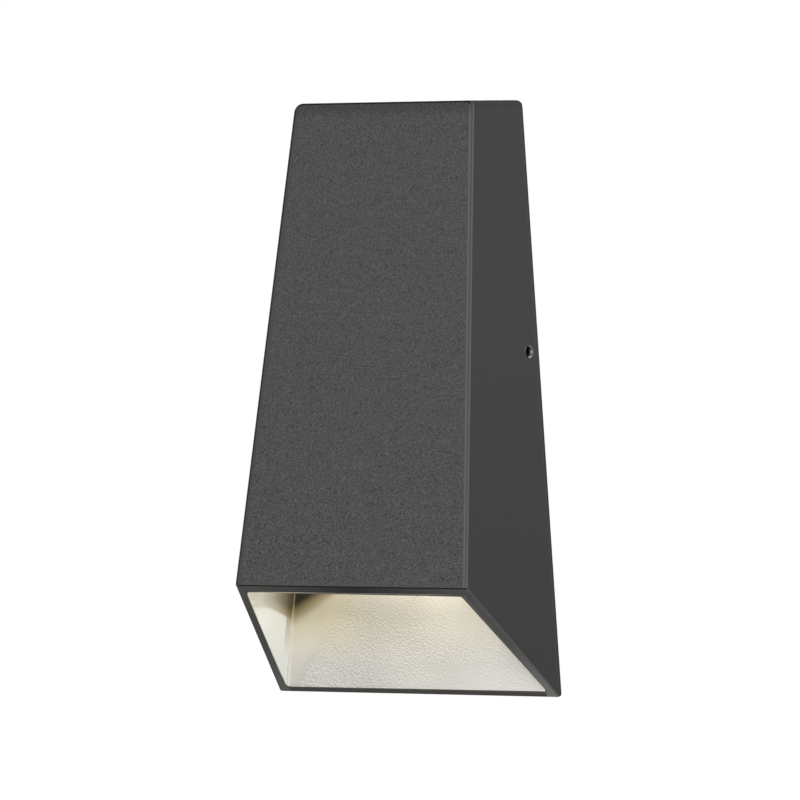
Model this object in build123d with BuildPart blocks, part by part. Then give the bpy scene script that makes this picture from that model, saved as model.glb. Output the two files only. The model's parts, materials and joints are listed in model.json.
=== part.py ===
"""Outdoor wall light: a cast wedge that hangs on a wall bracket and shines down through a slanted mouth.

Millimetres. The wall is the plane y = 0 and the front faces -Y. The origin is the middle of the wall
bracket, on the wall and level with the two side screws.
"""

import os
from math import hypot, radians, sqrt, tan

from build123d import *

os.makedirs("parts", exist_ok=True)

# Wedge outline
height = 254.0  # lowest edge to top
back_width_low = 138.8  # across the back at the lowest edge
back_width_top = 97.8  # across the back at the top
side_flare = 8.34  # degrees that each side opens towards the wall
lip_depth = 60.8  # wall to front lip
top_depth = 33.9  # wall to front face at the top
lip_rise = 46.7  # front lip above the lowest edge
roof_fall = 1.4  # roof lower at the front face than at the wall, so that water runs off
land = 1.8  # flat under the back edge, where the slanted mouth ends
wall = 3.8  # casting thickness
shoulder_round = 4.2  # top edges along the sides
edge_round = 1.1  # edges round the front face and the mouth
low_extra = 0.5  # how much rounder the lowest corners are than the edges of the mouth
back_bevel = 0.8  # side edges against the wall

# Shelf between the light chamber and the driver space
box_r = 50.8  # junction box that the recess has to cover
box_margin = 2.1  # shelf below the junction box
shelf = 3.6  # shelf thickness

# Rear recess, driver space and the flange that its cover seals on
recess = 17.0  # recess depth behind the wall plane
flange = 5.0  # flange thickness
flange_width = 9.5  # flange reach in from the wall
pocket = 30.2  # open pocket above the driver space
web = 4.0  # bar between the driver space and the pocket
seal_width = 1.8  # foam seal round the recess, on the wall side
seal_depth = 1.2
seal_offset = 0.6  # foam seal outside the recess edge

# Rear cover and its gasket
cover = 2.0
cover_gasket = 1.5
cover_gap = 2.2  # cover edge to the casting
cover_corner = 4.0  # corner radius of the cover and its gasket
cover_edge = 0.4  # bevel round the cover's outer face
cover_screw_inset = 4.2  # screw centres inside the cover's edge
cable_hole_r = 6.0
cable_bore_r = 3.5
grommet_lip = 2.0  # how far a grommet overlaps the plate it sits in
grommet_lip_height = 1.6

# Wall bracket and side screws
screw_rise = 146.5  # side screws above the lowest edge
screw_depth = 7.1  # side screws in front of the wall
bracket = 2.0  # bracket sheet thickness
bracket_bend = 1.0  # inside bend radius
bracket_corner = 2.0  # corner radius of the plate and the ears
plate_half_height = 23.0
plate_half_width = 42.0
ear_depth = 12.0
ear_half_height = 12.0
ear_gap = 0.5  # ear to the casting
box_spacing = 88.9  # junction-box screw spacing
small_box_spacing = 69.85  # spacing on the smaller box
box_hole_r = 2.4
box_slot = 9.0  # slot length for the smaller box
wire_hole_r = 11.0
ground_rise = 17.0  # ground screw above the bracket's middle
set_screw_r = 2.45
set_screw_length = 5.0
set_screw_point = 0.7  # chamfer at the point
set_screw_socket = 2.5  # socket across flats
set_screw_socket_depth = 2.4
set_hole_bevel = 0.4
pad_r = 5.5  # cast pad that thickens the side round each screw
pad_gap = 0.5  # pad to ear

# White reflector
liner = 1.0
liner_gap = 0.15  # liner to casting
liner_corner = 1.2  # inside corner radius
deck_drop = 11.0  # reflector deck below the shelf
deck_boss_r = 4.0
deck_boss_gap = 4.0  # boss to the lens frame's ear

# Light module, hung under the shelf
module_gap = 3.8  # lens frame to the casting, front and back
seat_height = 6.0
frame_wall = 3.0  # frame round the lens
frame_edge = 1.5  # lip under the lens
frame_lip = 3.0  # how far that lip reaches under the lens
frame_ear_out = 8.0  # ear screws outside the lens edge
frame_ear_r = 5.0
frame_bevel = 0.6
lens = 3.0
lens_bevel = 0.4
lens_overlap = 4.0  # lens edge outside the well
gasket_height = 1.0
gasket_inset = 0.5  # gasket outside the well
board = 1.6
board_gap = 0.5  # board to the well
board_screw_inset = 2.4
pad = 0.5  # thermal pad thickness
emitter = 1.0
emitter_rim = 0.8
emitter_gap = 0.8  # emitter to the board's screw heads
lead_r = 0.8
lead_pitch = 1.9
lead_offset = 5.0  # leads in front of the middle of the board
lead_inset = 5.0  # leads behind the driver's front
lead_hole_r = 3.5
lead_bore_r = 2.0

# Driver
driver_corner = 2.5
driver_gap = 0.8  # driver above the opening's lower edge
driver_side_gap = 1.5  # driver ears to the sides of the opening
driver_cable_gap = 2.5  # driver below the cable grommet
driver_ear = 2.5
driver_ear_reach = 9.0
driver_ear_height = 14.0

# Screws and fits
m3_r = 1.5
m3_head_r = 2.8
m3_head = 1.9
m2_r = 1.0
m2_head_r = 1.9
m2_head = 1.3
m4_r = 2.0
m4_head_r = 3.6
m4_head = 2.4
recess_share = 0.55  # cross recess depth as a share of the head
thread_gap = 0.05  # screw to its thread
through_gap = 0.2  # screw to a plain hole
fit_gap = 0.1  # soft or dropped-in piece to its hole
bite = 3.6  # thread of a screw in its hole
tap_spare = 0.4  # hole left under a screw's end
over = 1.0  # how far a cut runs past the face it opens

# Places worked out from the outline
low = -screw_rise
top = low + height
lip = low + lip_rise
shelf_top = -(box_r + box_margin)
shelf_low = shelf_top - shelf
space_top = top - wall - pocket - web
flare = tan(radians(side_flare))
taper = (back_width_top - back_width_low) / 2 / height
lean = (lip_depth - top_depth) / (height - lip_rise)
mouth_slope = lip_rise / (lip_depth - land)
roof_slope = roof_fall / top_depth
side_skew = sqrt(1 + flare**2 + taper**2)
front_skew = hypot(1, lean)


def front_y(z):
    """Front face at height z."""
    return lean * (z - lip) - lip_depth


def half_width(y, z, inset=0.0):
    """Side face at depth y and height z, drawn in by a wall."""
    return back_width_low / 2 + flare * y + taper * (z - low) - inset * side_skew


def side_plane(side, inset=0.0):
    """Plane of a side face, drawn in by a wall, with its normal pointing out."""
    return Plane((side * half_width(0, low, inset), 0, low), z_dir=(side, -flare, -taper))


def back_bevel_plane(side):
    """Plane that takes off the edge between a side face and the back."""
    middle_way = side_plane(side).z_dir + Vector(0, 1, 0)
    return Plane((side * half_width(-back_bevel, low), -back_bevel, low), z_dir=middle_way)


def roof_plane(z):
    """Plane of the roof, or of a ceiling under it, which meets the wall at height z and falls forwards."""
    return Plane((0, 0, z), z_dir=(0, -roof_slope, 1))


def block(z_low, z_high, inset=0.0, back=0.0, front=None, corner=0.0, roofed=False):
    """Solid that fills the wedge between two heights and two depths, drawn in by a wall."""
    y_low, y_high = [front_y(z) + inset * front_skew if front is None else -front for z in (z_low, z_high)]
    with BuildPart() as solid:
        with BuildSketch(Plane.YZ):
            with BuildLine():
                Polyline((-back, z_low), (y_low, z_low), (y_high, z_high), (-back, z_high), close=True)
            make_face()
        extrude(amount=back_width_low, both=True)
        for side in (-1, 1):
            split(bisect_by=side_plane(side, inset), keep=Keep.BOTTOM)
        if roofed:
            split(bisect_by=roof_plane(z_high), keep=Keep.BOTTOM)
        if corner:
            fillet(solid.edges().filter_by(Plane.XY, reverse=True), corner)
    return solid.part


def below_mouth():
    """Side view of what the slanted mouth cuts away."""
    reach = lip_depth + lip_rise
    with BuildSketch(Plane.YZ) as side:
        with BuildLine():
            Polyline(
                (-land, low),
                (-reach, low + mouth_slope * (reach - land)),
                (-reach, low - over),
                (-land, low - over),
                close=True,
            )
        make_face()
    return side.sketch.face()


def frame_outline(z, grow=0.0):
    """Outline of the lens frame and its seat: a ring with an ear on each side."""
    with BuildSketch(Plane((0, lens_y, z))) as outline:
        Circle(frame_r + grow)
        with Locations((-frame_ear_x, 0), (frame_ear_x, 0)):
            Circle(frame_ear_r + grow)
        make_hull()
    return outline.sketch.face()


def pan_screw(shank_r, length, head_r, head):
    """Pan-head screw with a cross recess: the head stands on z = 0 and the shank points down."""
    with BuildPart() as screw:
        Cylinder(shank_r, length, align=(Align.CENTER, Align.CENTER, Align.MAX))
        Cylinder(head_r, head, align=(Align.CENTER, Align.CENTER, Align.MIN))
        chamfer(screw.edges().sort_by(Axis.Z)[-1], head / 2)
        with BuildSketch(Plane.XY.offset(head)):
            Rectangle(head_r, head_r / 4)
            Rectangle(head_r / 4, head_r)
        extrude(amount=-head * recess_share, mode=Mode.SUBTRACT)
    return screw.part


# Places of the pieces that share a seat
chamber_front = front_y(shelf_low) + wall * front_skew
lens_y = (chamber_front - wall) / 2
frame_r = (-wall - chamber_front) / 2 - module_gap
lens_r = frame_r - frame_wall
aperture_r = lens_r - frame_lip
well_r = lens_r - lens_overlap
board_r = well_r - board_gap
board_screw_x = board_r - board_screw_inset
emitter_r = board_screw_x - m2_head_r - emitter_gap
frame_ear_x = lens_r + frame_ear_out
frame_height = gasket_height + lens + frame_edge
deck_boss_x = frame_ear_x + frame_ear_r + deck_boss_gap + deck_boss_r
lead_y = lens_y - lead_offset
deck_top = shelf_low - deck_drop
ear_out = half_width(-ear_depth, ear_half_height, wall) - ear_gap
pad_x = ear_out + pad_gap
cover_back = recess - cover_gasket - cover
cover_front = recess - cover_gasket
cover_low = shelf_top + cover_gap
cover_high = space_top - cover_gap
opening_low = shelf_top + flange_width
opening_high = space_top - flange_width
cover_screw_heights = [
    cover_low + cover_screw_inset,
    (cover_low + cover_high) / 2,
    cover_high - cover_screw_inset,
]
cover_screw_places = [
    (side * half_width(-recess, z, wall + cover_gap + cover_screw_inset), z)
    for z in cover_screw_heights
    for side in (-1, 1)
]
driver_low = opening_low + driver_gap
driver_height = -(cable_hole_r + grommet_lip + driver_cable_gap) - driver_low
driver_middle = driver_low + driver_height / 2
driver_depth = lead_inset - lead_y - cover_front
driver_ear_top = driver_middle + driver_ear_height / 2
driver_span = half_width(-recess - flange, driver_ear_top, wall + flange_width) - driver_side_gap
driver_width = 2 * (driver_span - driver_ear_reach)
driver_screw_x = driver_span - driver_ear_reach / 2
deck_screw_places = [(-deck_boss_x, lens_y), (deck_boss_x, lens_y)]
frame_screw_places = [(-frame_ear_x, lens_y), (frame_ear_x, lens_y)]
board_screw_places = [(-board_screw_x, lens_y), (board_screw_x, lens_y)]
set_hole_r = set_screw_r + thread_gap

# Foam seal round the recess, let into the back of the housing
seal_outer = seal_offset + seal_width
recess_top = top - wall
with BuildPart() as wall_gasket:
    add(block(shelf_top - seal_outer, recess_top + seal_outer, wall - seal_outer, 0, seal_depth))
    inner_seal = wall - seal_offset
    add(
        block(shelf_top - seal_offset, recess_top + seal_offset, inner_seal, -over, seal_depth + over),
        mode=Mode.SUBTRACT,
    )
wall_gasket.part.label = "wall_gasket"
export_step(wall_gasket.part, "parts/wall_gasket.step")

# Housing: wedge, mouth, rounded edges, then the light chamber, recess, driver space and pocket
with BuildPart() as housing:
    add(block(low, top, roofed=True))
    for side in (-1, 1):
        split(bisect_by=back_bevel_plane(side), keep=Keep.BOTTOM)
    extrude(below_mouth(), amount=back_width_low, both=True, mode=Mode.SUBTRACT)
    roof = housing.faces().sort_by(Axis.Z)[-1]
    shoulders = roof.edges().filter_by(Axis.X, reverse=True).sort_by(SortBy.LENGTH)[-2:]
    fillet(shoulders, shoulder_round)
    flat = housing.faces().sort_by(Axis.Z)[0]
    fillet(flat.edges().filter_by(Axis.X, reverse=True).sort_by(SortBy.LENGTH)[-2:], edge_round + low_extra)
    face = housing.faces().sort_by(Axis.Y)[0]
    mouth = housing.faces().filter_by(GeomType.PLANE).sort_by(Axis.Z)[1]
    fillet(face.edges() + mouth.edges().filter_by(Axis.X, reverse=True), edge_round)
    for cavity in (
        block(low, shelf_low, wall, wall, corner=liner_corner + liner + liner_gap),
        block(shelf_top, recess_top, wall, -over, recess, roofed=True),
        block(shelf_top, space_top, wall, recess + flange),
        block(opening_low, opening_high, wall + flange_width, recess - over, recess + flange + over),
        block(space_top + web, recess_top, wall, recess - over, roofed=True),
    ):
        add(cavity, mode=Mode.SUBTRACT)
    # Seat of the light module, with its well, and the two bosses of the reflector
    extrude(frame_outline(shelf_low), amount=-seat_height)
    with Locations((0, lens_y, shelf_low)):
        Cylinder(well_r, seat_height, align=(Align.CENTER, Align.CENTER, Align.MAX), mode=Mode.SUBTRACT)
    with BuildSketch(Plane.XY.offset(deck_top)):
        with Locations(*deck_screw_places):
            Circle(deck_boss_r)
    extrude(amount=deck_drop)
    # Threads for the module, board and reflector screws, and the hole for the leads
    for places, radius, z_mouth in (
        (frame_screw_places, m3_r, shelf_low - seat_height),
        (board_screw_places, m2_r, shelf_low),
        (deck_screw_places, m3_r, deck_top),
    ):
        with BuildSketch(Plane.XY.offset(z_mouth)):
            with Locations(*places):
                Circle(radius + thread_gap)
        extrude(amount=min(bite + tap_spare, shelf_top - z_mouth), mode=Mode.SUBTRACT)
    with BuildSketch(Plane.XY.offset(shelf_low)):
        with Locations((0, lead_y)):
            Circle(lead_hole_r)
    extrude(amount=shelf, mode=Mode.SUBTRACT)
    # Threads for the cover screws
    with BuildSketch(Plane.XZ.offset(recess)):
        with Locations(*cover_screw_places):
            Circle(m3_r + thread_gap)
    extrude(amount=bite + tap_spare, mode=Mode.SUBTRACT)
    # Side pads and threads for the set screws
    for side in (-1, 1):
        with BuildSketch(Plane.YZ.offset(side * pad_x)):
            with Locations((-screw_depth, 0)):
                Circle(pad_r)
        extrude(amount=side * (half_width(-screw_depth, 0, wall / 2) - pad_x))
        with BuildSketch(Plane.YZ.offset(side * pad_x)):
            with Locations((-screw_depth, 0)):
                Circle(set_hole_r)
        extrude(amount=side * 2 * wall, mode=Mode.SUBTRACT)
    hole_edges = housing.edges().filter_by(GeomType.ELLIPSE).filter_by_position(Axis.Z, -pad_r, pad_r)
    hole_mouths = [hole_edges.sort_by(Axis.X)[0], hole_edges.sort_by(Axis.X)[-1]]
    chamfer(hole_mouths, set_hole_bevel)
    # Groove for the foam seal
    add(wall_gasket.part, mode=Mode.SUBTRACT)
housing.part.label = "housing"
export_step(housing.part, "parts/housing.step")

# White reflector: a tapered liner flush with the mouth, closed above by a deck with a window for the lens
liner_out = wall + liner_gap
liner_in = liner_out + liner
with BuildPart() as reflector:
    add(block(low, deck_top, liner_out, liner_out, corner=liner_corner + liner))
    add(block(low, deck_top - liner, liner_in, liner_in, corner=liner_corner), mode=Mode.SUBTRACT)
    extrude(below_mouth(), amount=back_width_low, both=True, mode=Mode.SUBTRACT)
    extrude(frame_outline(deck_top, through_gap), amount=-liner, mode=Mode.SUBTRACT)
    with BuildSketch(Plane.XY.offset(deck_top)):
        with Locations(*deck_screw_places):
            Circle(m3_r + through_gap)
    extrude(amount=-liner, mode=Mode.SUBTRACT)
reflector.part.label = "reflector"
export_step(reflector.part, "parts/reflector.step")

# Light module under the shelf, from the top down: pad, board, emitter, gasket, lens and frame
board_top = shelf_low - pad
board_low = board_top - board
lens_top = shelf_low - seat_height - gasket_height
lens_low = lens_top - lens
frame_top = shelf_low - seat_height
frame_low = frame_top - frame_height

with BuildPart() as thermal_pad:
    with BuildSketch(Plane((0, lens_y, board_top))):
        Circle(board_r)
        with Locations((-board_screw_x, 0), (board_screw_x, 0)):
            Circle(m2_r + through_gap, mode=Mode.SUBTRACT)
        with Locations((0, lead_y - lens_y)):
            Circle(lead_bore_r, mode=Mode.SUBTRACT)
    extrude(amount=pad)
thermal_pad.part.label = "thermal_pad"
export_step(thermal_pad.part, "parts/thermal_pad.step")

with BuildPart() as led_board:
    with BuildSketch(Plane((0, lens_y, board_low))):
        Circle(board_r)
        with Locations((-board_screw_x, 0), (board_screw_x, 0)):
            Circle(m2_r + through_gap, mode=Mode.SUBTRACT)
    extrude(amount=board)
led_board.part.label = "led_board"
export_step(led_board.part, "parts/led_board.step")

with BuildPart() as led_emitter:
    with BuildSketch(Plane((0, lens_y, board_low))):
        Circle(emitter_r)
    extrude(amount=-emitter)
    with BuildSketch(Plane((0, lens_y, board_low - emitter))):
        Circle(emitter_r - emitter_rim)
    extrude(amount=emitter / 2, mode=Mode.SUBTRACT)
led_emitter.part.label = "led_emitter"
export_step(led_emitter.part, "parts/led_emitter.step")

with BuildPart() as lens_gasket:
    with BuildSketch(Plane((0, lens_y, lens_top))):
        Circle(lens_r)
        Circle(well_r + gasket_inset, mode=Mode.SUBTRACT)
    extrude(amount=gasket_height)
lens_gasket.part.label = "lens_gasket"
export_step(lens_gasket.part, "parts/lens_gasket.step")

with BuildPart() as lens_disc:
    with BuildSketch(Plane((0, lens_y, lens_low))):
        Circle(lens_r)
    extrude(amount=lens)
    chamfer(lens_disc.edges(), lens_bevel)
lens_disc.part.label = "lens"
export_step(lens_disc.part, "parts/lens.step")

with BuildPart() as lens_frame:
    extrude(frame_outline(frame_low), amount=frame_height)
    chamfer(lens_frame.faces().sort_by(Axis.Z)[0].edges(), frame_bevel)
    with BuildSketch(Plane((0, lens_y, frame_low))):
        Circle(aperture_r)
        with Locations((-frame_ear_x, 0), (frame_ear_x, 0)):
            Circle(m3_r + through_gap)
    extrude(amount=frame_height, mode=Mode.SUBTRACT)
    with BuildSketch(Plane((0, lens_y, lens_low))):
        Circle(lens_r + fit_gap)
    extrude(amount=frame_top - lens_low, mode=Mode.SUBTRACT)
lens_frame.part.label = "lens_frame"
export_step(lens_frame.part, "parts/lens_frame.step")

# Leads from the board up to the driver, through a grommet in the shelf
with BuildPart() as lead_grommet:
    with BuildSketch(Plane((0, lead_y, shelf_low))):
        Circle(lead_hole_r - fit_gap)
    extrude(amount=shelf)
    with BuildSketch(Plane((0, lead_y, shelf_top))):
        Circle(lead_hole_r + grommet_lip)
    extrude(amount=grommet_lip_height)
    chamfer(lead_grommet.edges().sort_by(Axis.Z)[-1], grommet_lip_height / 2)
    with BuildSketch(Plane((0, lead_y, shelf_low))):
        Circle(lead_bore_r)
    extrude(amount=shelf + grommet_lip_height, mode=Mode.SUBTRACT)
lead_grommet.part.label = "lead_grommet"
export_step(lead_grommet.part, "parts/lead_grommet.step")

with BuildPart() as led_leads:
    with BuildSketch(Plane((0, lead_y, board_top))):
        with Locations((-lead_pitch / 2, 0), (lead_pitch / 2, 0)):
            Circle(lead_r)
    extrude(amount=driver_low - board_top)
led_leads.part.label = "led_leads"
export_step(led_leads.part, "parts/led_leads.step")

# Driver: a potted case with an ear at each end, screwed to the inside of the rear cover
with BuildPart() as driver:
    with BuildSketch(Plane.XZ.offset(cover_front)):
        with Locations((0, driver_middle)):
            RectangleRounded(driver_width, driver_height, driver_corner)
    extrude(amount=driver_depth)
    fillet(driver.faces().sort_by(Axis.Y)[0].edges(), driver_corner / 2)
    with BuildSketch(Plane.XZ.offset(cover_front)):
        with Locations((0, driver_middle)):
            RectangleRounded(2 * driver_span, driver_ear_height, driver_corner)
        with Locations((-driver_screw_x, driver_middle), (driver_screw_x, driver_middle)):
            Circle(m3_r + through_gap, mode=Mode.SUBTRACT)
    extrude(amount=driver_ear)
driver.part.label = "driver"
export_step(driver.part, "parts/driver.step")

# Rear cover and its gasket
with BuildPart() as rear_cover:
    add(block(cover_low, cover_high, wall + cover_gap, cover_back, cover_front))
    fillet(rear_cover.edges().sort_by(SortBy.LENGTH)[:4], cover_corner)
    chamfer(rear_cover.faces().sort_by(Axis.Y)[-1].edges(), cover_edge)
    with BuildSketch(Plane.XZ.offset(cover_back)):
        with Locations(*cover_screw_places):
            Circle(m3_r + through_gap)
        with Locations((-driver_screw_x, driver_middle), (driver_screw_x, driver_middle)):
            Circle(m3_r + thread_gap)
        Circle(cable_hole_r)
    extrude(amount=cover, mode=Mode.SUBTRACT)
rear_cover.part.label = "rear_cover"
export_step(rear_cover.part, "parts/rear_cover.step")

with BuildPart() as rear_cover_gasket:
    add(block(cover_low, cover_high, wall + cover_gap, cover_front, recess))
    fillet(rear_cover_gasket.edges().sort_by(SortBy.LENGTH)[:4], cover_corner)
    add(
        block(opening_low, opening_high, wall + flange_width, cover_front - over, recess + over),
        mode=Mode.SUBTRACT,
    )
    with BuildSketch(Plane.XZ.offset(cover_front)):
        with Locations(*cover_screw_places):
            Circle(m3_r + through_gap)
    extrude(amount=cover_gasket, mode=Mode.SUBTRACT)
rear_cover_gasket.part.label = "rear_cover_gasket"
export_step(rear_cover_gasket.part, "parts/rear_cover_gasket.step")

with BuildPart() as cable_grommet:
    with BuildSketch(Plane.XY):
        with BuildLine():
            Polyline(
                (cable_bore_r, grommet_lip_height - cover_back),
                (cable_hole_r + grommet_lip, grommet_lip_height - cover_back),
                (cable_hole_r + grommet_lip, -cover_back),
                (cable_hole_r - fit_gap, -cover_back),
                (cable_hole_r - fit_gap, -cover_front),
                (cable_hole_r + grommet_lip, -cover_front),
                (cable_hole_r + grommet_lip / 2, -cover_front - grommet_lip_height),
                (cable_bore_r, -cover_front - grommet_lip_height),
                close=True,
            )
        make_face()
    revolve(axis=Axis.Y)
cable_grommet.part.label = "cable_grommet"
export_step(cable_grommet.part, "parts/cable_grommet.step")

# Wall bracket: bent sheet with an ear at each end, junction-box holes and slots, and a hole for the wires
with BuildPart() as wall_bracket:
    with BuildSketch(Plane.XY.offset(-plate_half_height)) as bend:
        with BuildLine():
            Polyline(
                (-ear_out, -ear_depth),
                (-ear_out, 0),
                (ear_out, 0),
                (ear_out, -ear_depth),
                (ear_out - bracket, -ear_depth),
                (ear_out - bracket, -bracket),
                (bracket - ear_out, -bracket),
                (bracket - ear_out, -ear_depth),
                close=True,
            )
        make_face()
        fillet(bend.vertices().group_by(Axis.Y)[-1], bracket + bracket_bend)
        inner_corners = bend.vertices().filter_by_position(Axis.Y, -bracket - over / 2, over / 2 - bracket)
        fillet(inner_corners, bracket_bend)
    extrude(amount=2 * plate_half_height)
    with BuildSketch(Plane.XZ):
        corner_width = ear_out - plate_half_width
        corner_height = plate_half_height - ear_half_height
        with GridLocations(ear_out + plate_half_width, plate_half_height + ear_half_height, 2, 2):
            Rectangle(corner_width, corner_height)
    extrude(amount=ear_depth, mode=Mode.SUBTRACT)
    corners = wall_bracket.edges()
    plate_corners = corners.filter_by(Axis.Y).group_by(Axis.Z)
    ear_corners = corners.filter_by(Axis.X).group_by(Axis.Y)[0]
    fillet(plate_corners[0] + plate_corners[-1] + ear_corners, bracket_corner)
    with BuildSketch(Plane.XZ):
        with GridLocations(box_spacing, 0, 2, 1):
            Circle(box_hole_r)
        with GridLocations(small_box_spacing, 0, 2, 1):
            SlotOverall(box_slot, 2 * box_hole_r)
        Circle(wire_hole_r)
        with Locations((0, ground_rise)):
            Circle(m4_r + thread_gap)
    extrude(amount=bracket, mode=Mode.SUBTRACT)
wall_bracket.part.label = "wall_bracket"
export_step(wall_bracket.part, "parts/wall_bracket.step")

# Side screws: socket set screws whose points bear on the bracket's ears
for name, side in (("set_screw_left", -1), ("set_screw_right", 1)):
    with BuildPart() as set_screw:
        with BuildSketch(Plane.YZ.offset(side * ear_out)):
            with Locations((-screw_depth, 0)):
                Circle(set_screw_r)
        extrude(amount=side * set_screw_length)
        ends = set_screw.faces().filter_by(Axis.X).sort_by(Axis.X)
        point = ends[0] if side > 0 else ends[-1]
        chamfer(point.edges(), set_screw_point)
        with BuildSketch(Plane.YZ.offset(side * (ear_out + set_screw_length))):
            with Locations((-screw_depth, 0)):
                RegularPolygon(set_screw_socket / 2, 6, major_radius=False)
        extrude(amount=-side * set_screw_socket_depth, mode=Mode.SUBTRACT)
    set_screw.part.label = name
    export_step(set_screw.part, f"parts/{name}.step")

# Pan-head screws, one group for each set of places
upward = (180, 0, 0)
inward = (90, 0, 0)
outward = (-90, 0, 0)
for name, radius, length, head_r, head, turn, places in (
    ("lens_frame_screws", m3_r, frame_height + bite, m3_head_r, m3_head, upward,
     [(x, y, frame_low) for x, y in frame_screw_places]),
    ("led_board_screws", m2_r, board + pad + shelf, m2_head_r, m2_head, upward,
     [(x, y, board_low) for x, y in board_screw_places]),
    ("reflector_screws", m3_r, liner + bite, m3_head_r, m3_head, upward,
     [(x, y, deck_top - liner) for x, y in deck_screw_places]),
    ("rear_cover_screws", m3_r, cover + cover_gasket + bite, m3_head_r, m3_head, outward,
     [(x, -cover_back, z) for x, z in cover_screw_places]),
    ("driver_screws", m3_r, driver_ear + cover, m3_head_r, m3_head, inward,
     [(x, -cover_front - driver_ear, driver_middle) for x in (-driver_screw_x, driver_screw_x)]),
    ("ground_screw", m4_r, bracket, m4_head_r, m4_head, inward, [(0, -bracket, ground_rise)]),
):
    with BuildPart() as screws:
        for place in places:
            with Locations(Location(place, turn)):
                add(pan_screw(radius, length, head_r, head))
    screws.part.label = name
    export_step(screws.part, f"parts/{name}.step")
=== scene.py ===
"""Outdoor wall light: finishes, small fittings, studio and camera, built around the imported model."""

import json
from math import cos, pi, radians, sin, sqrt, tan

import bpy
from mathutils import Matrix, Vector


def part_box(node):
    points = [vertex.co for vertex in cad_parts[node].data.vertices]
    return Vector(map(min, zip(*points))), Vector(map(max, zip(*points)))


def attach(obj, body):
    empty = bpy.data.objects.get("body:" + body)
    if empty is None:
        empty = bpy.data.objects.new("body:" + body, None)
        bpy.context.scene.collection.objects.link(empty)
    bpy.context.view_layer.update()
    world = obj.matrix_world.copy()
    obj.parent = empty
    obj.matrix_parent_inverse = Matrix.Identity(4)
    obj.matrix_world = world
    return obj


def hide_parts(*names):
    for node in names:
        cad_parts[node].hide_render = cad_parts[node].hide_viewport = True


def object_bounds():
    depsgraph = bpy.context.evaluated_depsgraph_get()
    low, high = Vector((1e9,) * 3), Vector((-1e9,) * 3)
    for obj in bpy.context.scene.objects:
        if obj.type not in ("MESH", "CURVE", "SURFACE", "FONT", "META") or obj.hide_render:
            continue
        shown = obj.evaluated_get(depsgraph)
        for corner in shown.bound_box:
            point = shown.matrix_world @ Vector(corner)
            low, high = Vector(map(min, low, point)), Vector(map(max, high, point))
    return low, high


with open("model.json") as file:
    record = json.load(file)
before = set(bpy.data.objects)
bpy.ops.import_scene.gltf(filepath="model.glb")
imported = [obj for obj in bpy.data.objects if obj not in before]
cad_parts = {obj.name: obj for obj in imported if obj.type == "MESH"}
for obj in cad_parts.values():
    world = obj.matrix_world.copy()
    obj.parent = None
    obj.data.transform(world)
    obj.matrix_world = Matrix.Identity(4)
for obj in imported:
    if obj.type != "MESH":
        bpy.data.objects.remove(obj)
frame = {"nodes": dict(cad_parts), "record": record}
cad_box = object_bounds()
nodes = frame["nodes"]

MM = 0.001
lowest = cad_box[0].z
highest = cad_box[1].z

# Points closer than this are one point
touching = 0.001 * MM

# Camera, as the photograph was taken: far away, a little to the light's right, the light's top tipped back
camera_azimuth = radians(29.655)
camera_lean = radians(0.352)
camera_roll = radians(0.09)
camera_distance = 3.4588
camera_lens = 362.81
camera_aim = Vector((0, 0, -19.5 * MM))
camera_right = -9.428 * MM
camera_up = -0.952 * MM

# Threads: pitch by radius, both in millimetres, depth as a share of the pitch, and steps in a turn
coarse_pitch = {1.0: 0.4, 1.5: 0.5, 2.0: 0.7, 2.45: 0.8}
thread_share = 0.6
thread_steps = 28

# Axes that a screw's head or a grommet's mouth can face
face_down = Matrix.Rotation(pi, 4, "X")
face_wall = Matrix.Rotation(-pi / 2, 4, "X")
face_front = Matrix.Rotation(pi / 2, 4, "X")
face_left = Matrix.Rotation(-pi / 2, 4, "Y")
face_right = Matrix.Rotation(pi / 2, 4, "Y")


# Modelling helpers

def deselect():
    """Leaves nothing selected, so that an operator acts only on what comes next."""
    bpy.ops.object.select_all(action="DESELECT")


def hold(piece):
    """Makes one piece the only one selected, and the active one."""
    deselect()
    piece.select_set(True)
    bpy.context.view_layer.objects.active = piece
    return piece


def edit(piece):
    """Opens a piece in edit mode with everything selected."""
    hold(piece)
    bpy.ops.object.mode_set(mode="EDIT")
    bpy.ops.mesh.select_mode(type="VERT")
    bpy.ops.mesh.select_all(action="SELECT")


def close_edit():
    """Leaves edit mode, which writes the changes to the mesh."""
    bpy.ops.object.mode_set(mode="OBJECT")


def start(name, add_primitive, **sizes):
    """Adds a primitive as the start of a new piece."""
    deselect()
    add_primitive(**sizes)
    piece = bpy.context.active_object
    piece.name = name
    piece.data.name = name
    return piece


def pick_lower_faces(piece):
    """Opens a piece in edit mode with only the faces selected that look down."""
    edit(piece)
    bpy.ops.mesh.select_mode(type="FACE")
    bpy.ops.mesh.select_all(action="DESELECT")
    close_edit()
    for face in piece.data.polygons:
        face.select = face.normal.z < -0.5
    bpy.ops.object.mode_set(mode="EDIT")


def shape(piece, kind, **settings):
    """Adds a modifier, sets it up and applies it."""
    hold(piece)
    modifier = piece.modifiers.new(kind.title(), kind)
    for name, value in settings.items():
        setattr(modifier, name, value)
    bpy.ops.object.modifier_apply(modifier=modifier.name)
    return piece


def carve(piece, tool, operation="DIFFERENCE"):
    """Cuts a piece by a tool, or joins the tool to it, and throws the tool away."""
    shape(piece, "BOOLEAN", object=tool, operation=operation, solver="EXACT")
    bpy.data.objects.remove(tool)
    return piece


def smooth(piece, angle=35.0):
    """Smooth shading that keeps edges sharper than an angle."""
    hold(piece)
    bpy.ops.object.shade_smooth_by_angle(angle=radians(angle))
    return piece


def even(piece):
    """Smooth shading that leaves the large flat faces flat."""
    return shape(smooth(piece), "WEIGHTED_NORMAL", keep_sharp=True, weight=100)


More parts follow.
